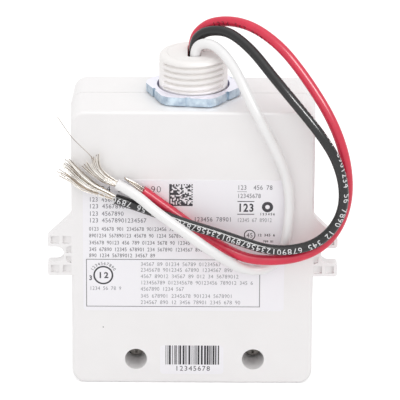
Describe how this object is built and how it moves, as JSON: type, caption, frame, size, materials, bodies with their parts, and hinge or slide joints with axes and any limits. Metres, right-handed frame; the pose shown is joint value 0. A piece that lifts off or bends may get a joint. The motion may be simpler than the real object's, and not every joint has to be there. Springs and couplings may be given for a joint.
{
  "type": "wireless dimming module",
  "caption": "Flat plastic control box with slotted side ears, a threaded nipple with a locknut on its end, and stripped wire leads that loop across its label face.",
  "frame": {"origin": "middle of the bottom end, on its face", "axes": "+Z along the nipple, +Y from the label face to the button face, +X to the right as the label is read"},
  "size_m": [0.0921, 0.0421, 0.1139],
  "materials": {
    "case_plastic": "fine matt",
    "nipple_plastic": "satin",
    "nut_steel": "zinc plated",
    "screw_steel": "satin",
    "label_film": "satin",
    "fibre_sheet": "matt",
    "board_laminate": "solder mask",
    "black_plastic": "satin",
    "contact_brass": "plated",
    "button_plastic": "satin",
    "plunger_plastic": "satin",
    "relay_plastic": "satin",
    "capacitor_case": "gloss",
    "blue_coating": "gloss",
    "fuse_case": "satin",
    "can_sleeve": "gloss",
    "winding": "enamelled",
    "ferrite": "matt",
    "chip_resin": "matt",
    "tinned_metal": "tinned",
    "led_body": "gloss",
    "clear_plastic": "clear",
    "terminal_plastic": "satin",
    "spring_steel": "satin",
    "black_insulation": "satin",
    "red_insulation": "satin",
    "white_insulation": "satin",
    "copper_strands": "tinned copper"
  },
  "bodies": {
    "case": {"rear_case": "case_plastic", "front_case": "case_plastic", "threaded_nipple": "nipple_plastic", "wire_plug": "nipple_plastic", "case_screws": "screw_steel", "main_label": "label_film", "serial_label": "label_film", "insulating_sheet": "fibre_sheet", "main_board": "board_laminate", "radio_board": "board_laminate", "board_header": "black_plastic", "tact_switches": "black_plastic", "header_pins": "contact_brass", "antenna": "contact_brass", "relay": "relay_plastic", "film_capacitor": "capacitor_case", "varistor": "blue_coating", "fuse": "fuse_case", "bulk_capacitors": "can_sleeve", "line_choke": "winding", "transformer_coil": "winding", "transformer_core": "ferrite", "rectifier": "chip_resin", "switching_triac": "chip_resin", "optocoupler": "chip_resin", "power_controller": "chip_resin", "dimming_driver": "chip_resin", "radio_chip": "chip_resin", "microcontroller": "chip_resin", "chip_pins": "tinned_metal", "radio_shield": "tinned_metal", "lead_tails": "tinned_metal", "status_led": "led_body", "light_pipe": "clear_plastic", "terminal_block": "terminal_plastic", "terminal_clamps": "spring_steel", "black_lead": "black_insulation", "black_lead_inside": "black_insulation", "red_lead": "red_insulation", "red_lead_inside": "red_insulation", "white_lead": "white_insulation", "white_lead_inside": "white_insulation", "black_strands": "copper_strands", "red_strands": "copper_strands", "white_strands": "copper_strands"},
    "on_button": {"on_button": "button_plastic", "on_plunger": "plunger_plastic"},
    "off_button": {"off_button": "button_plastic", "off_plunger": "plunger_plastic"},
    "program_button": {"program_button": "button_plastic", "program_plunger": "plunger_plastic"},
    "locknut": {"locknut": "nut_steel"}
  },
  "joints": [
    {"name": "on_press", "type": "slide", "parent": "case", "child": "on_button", "axis": [0, -1, 0], "range_m": [0, 0.0005], "stiffness_N_per_m": 1500},
    {"name": "off_press", "type": "slide", "parent": "case", "child": "off_button", "axis": [0, -1, 0], "range_m": [0, 0.0005], "stiffness_N_per_m": 1500},
    {"name": "program_press", "type": "slide", "parent": "case", "child": "program_button", "axis": [0, -1, 0], "range_m": [0, 0.0005], "stiffness_N_per_m": 1500},
    {"name": "locknut_turn", "type": "hinge", "parent": "case", "child": "locknut", "pos_m": [0, 0.00105, 0.0905], "axis": [0, 0, 1], "continuous": true}
  ]
}
